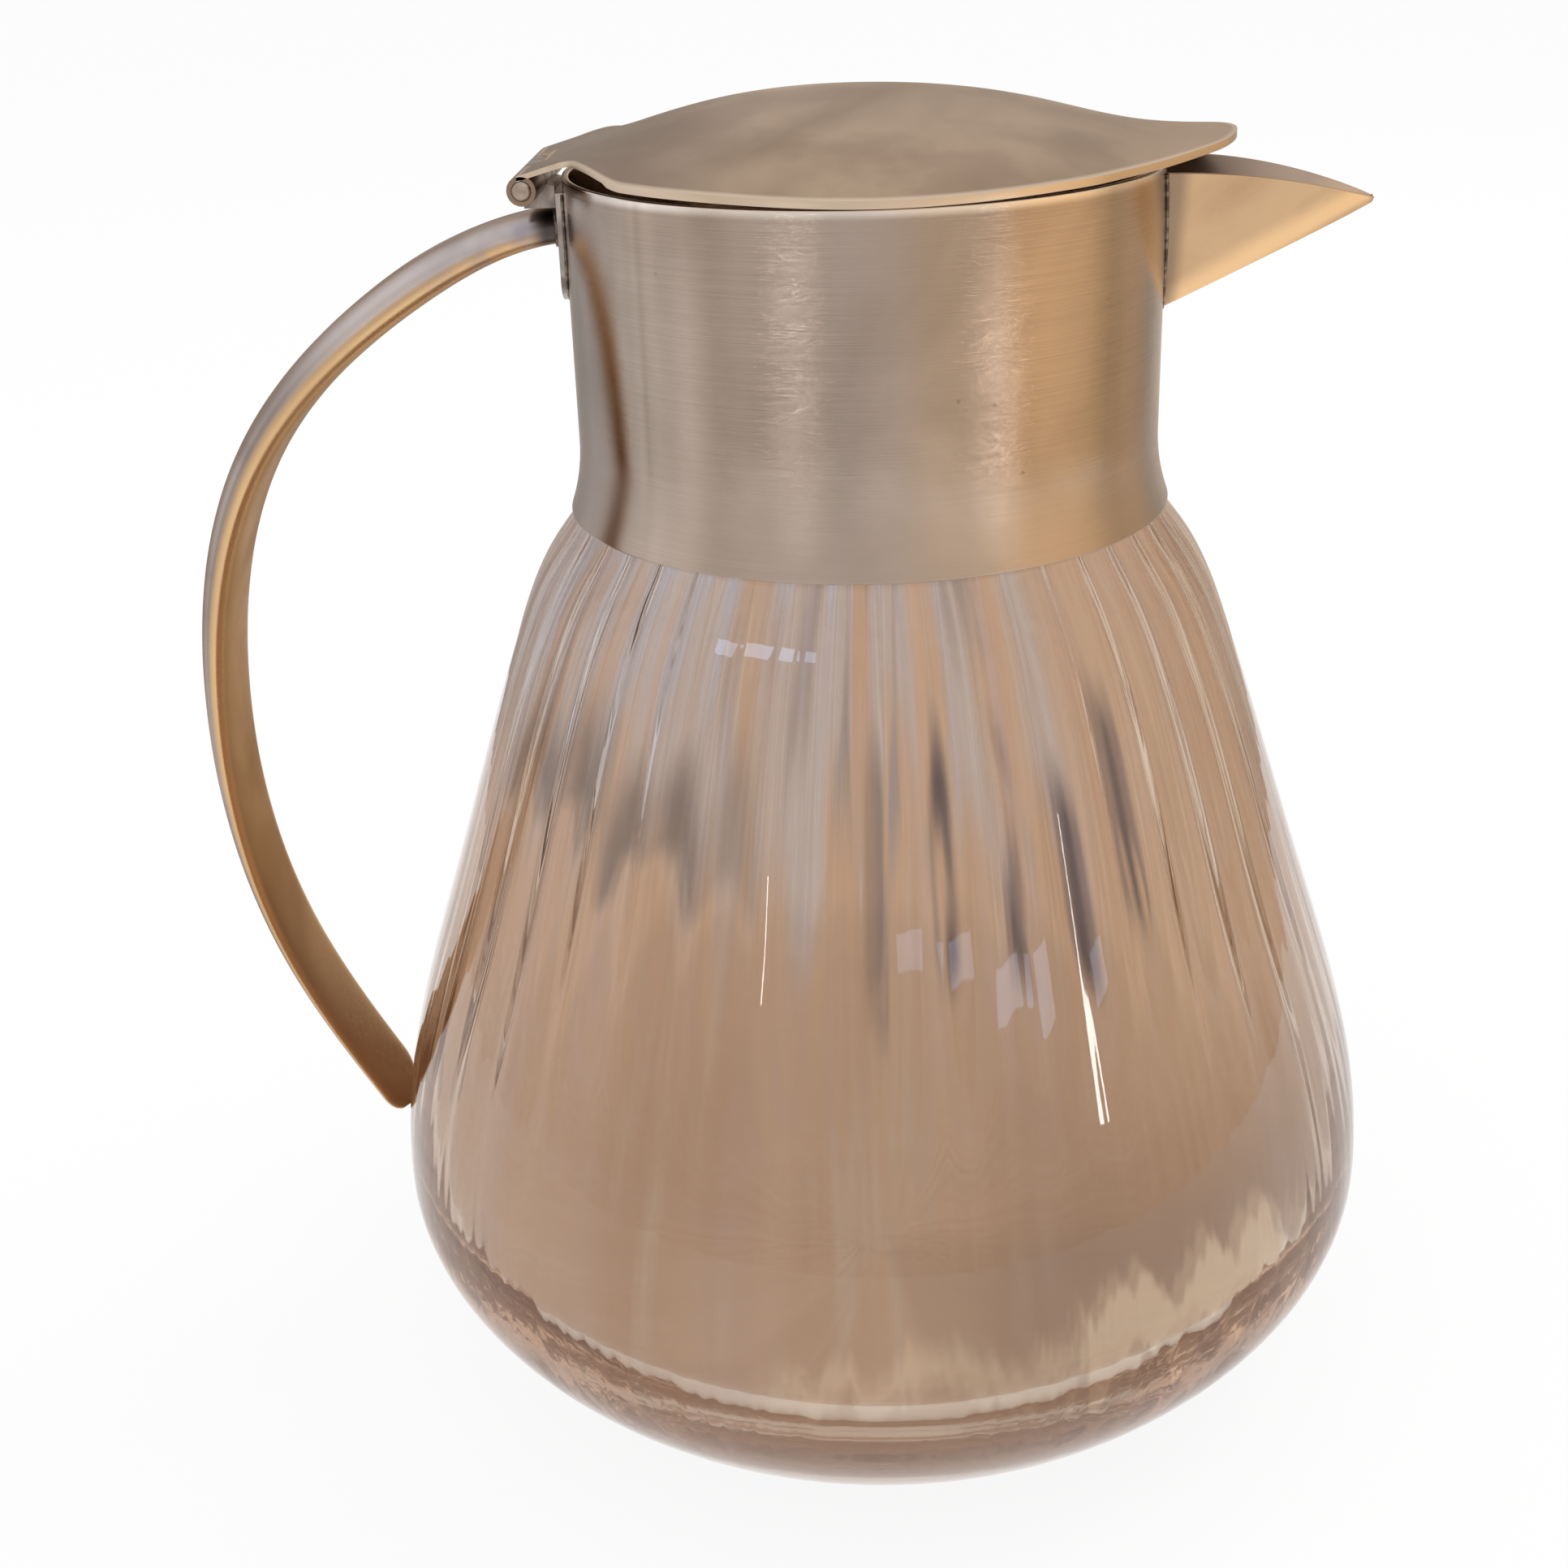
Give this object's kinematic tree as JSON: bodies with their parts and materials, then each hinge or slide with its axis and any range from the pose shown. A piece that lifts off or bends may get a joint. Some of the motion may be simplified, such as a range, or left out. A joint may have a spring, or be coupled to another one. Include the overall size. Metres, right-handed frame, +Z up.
{
  "type": "glass carafe with hinged lid",
  "caption": "Pear-shaped clear glass carafe with a plated metal collar, folded pouring spout, strap handle and a domed leaf lid on a rear hinge.",
  "frame": {"origin": "centre of the flat base, where the carafe's axis meets the surface it stands on", "axes": "+Z up along the axis of the glass and the collar, +X towards the pouring spout, the handle and the hinge along -X, the hinge pin along Y"},
  "size_m": [0.2136, 0.1844, 0.235],
  "materials": {
    "clear_glass": "clear, fire polished",
    "cement": "matt, hidden",
    "silver_plate": "silver plated, satin, worn",
    "pin_metal": "satin",
    "lid_plate": "silver plated, satin, worn"
  },
  "bodies": {
    "jug": {"glass_body": "clear_glass", "neck_collar": "silver_plate", "cement_bed": "cement", "pouring_spout": "silver_plate", "handle_shield": "silver_plate", "handle": "silver_plate", "hinge_bracket": "silver_plate", "hinge_pin": "pin_metal"},
    "lid": {"lid": "lid_plate"}
  },
  "joints": [
    {"name": "lid_hinge", "type": "hinge", "parent": "jug", "child": "lid", "pos_m": [-0.0546, 0, 0.2222], "axis": [0, -1, 0], "range_deg": [0, 110]}
  ]
}
